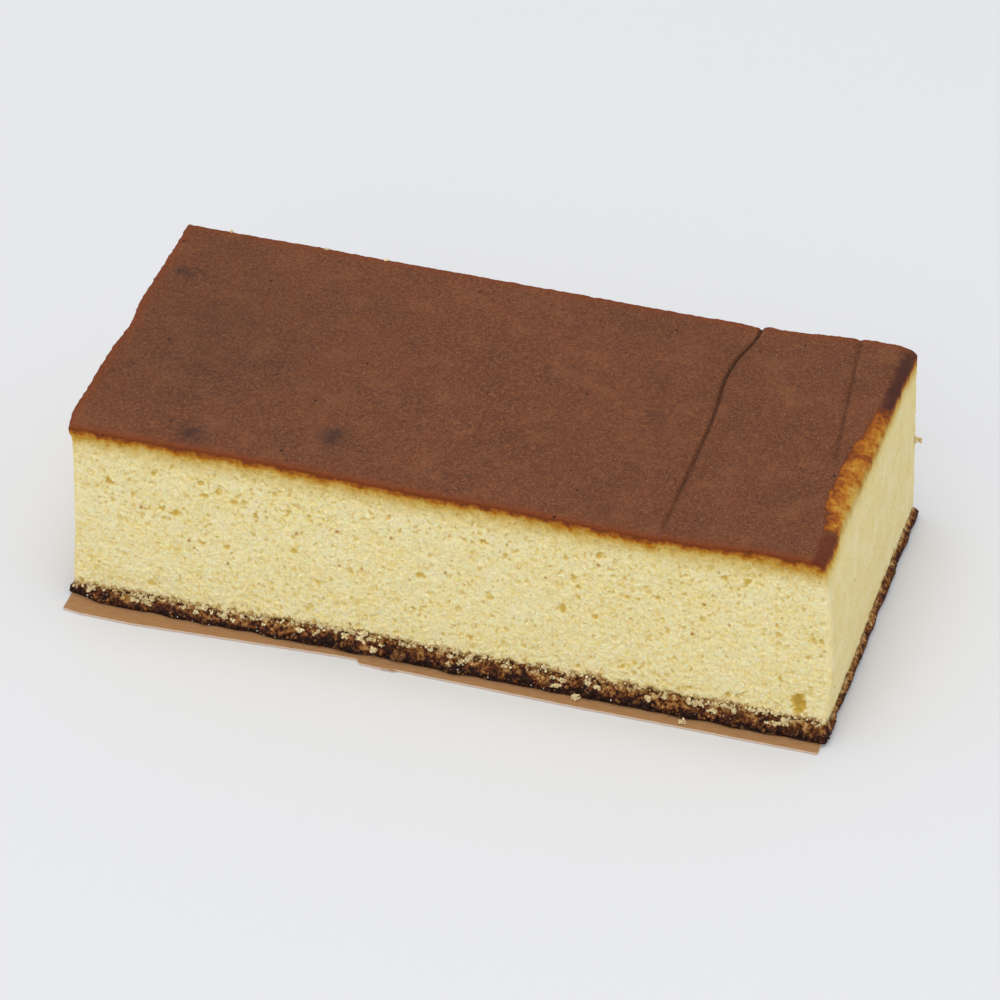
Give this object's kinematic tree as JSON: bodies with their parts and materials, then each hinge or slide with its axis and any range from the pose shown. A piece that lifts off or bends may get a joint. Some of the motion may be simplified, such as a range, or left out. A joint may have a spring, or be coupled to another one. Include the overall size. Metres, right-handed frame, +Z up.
{
  "type": "castella sponge cake",
  "caption": "Oblong castella sponge cake with cut yellow sides, a smooth brown baked top with a crease, a dark bottom crust and a thin kraft card under it.",
  "frame": {"origin": "under the middle of the whole object, on the surface that it stands on", "axes": "+X along the long side, the long front cut side with the card's ledge faces -Y, +Z up"},
  "size_m": [0.21, 0.1068, 0.0577],
  "materials": {
    "baked_sponge": "matt open crumb on the cut sides, brown baked crust on top, dark crust below",
    "kraft_card": "matt brown kraft card with a pale cut edge"
  },
  "bodies": {
    "root": {"castella_loaf": "baked_sponge", "base_card": "kraft_card"}
  },
  "joints": []
}
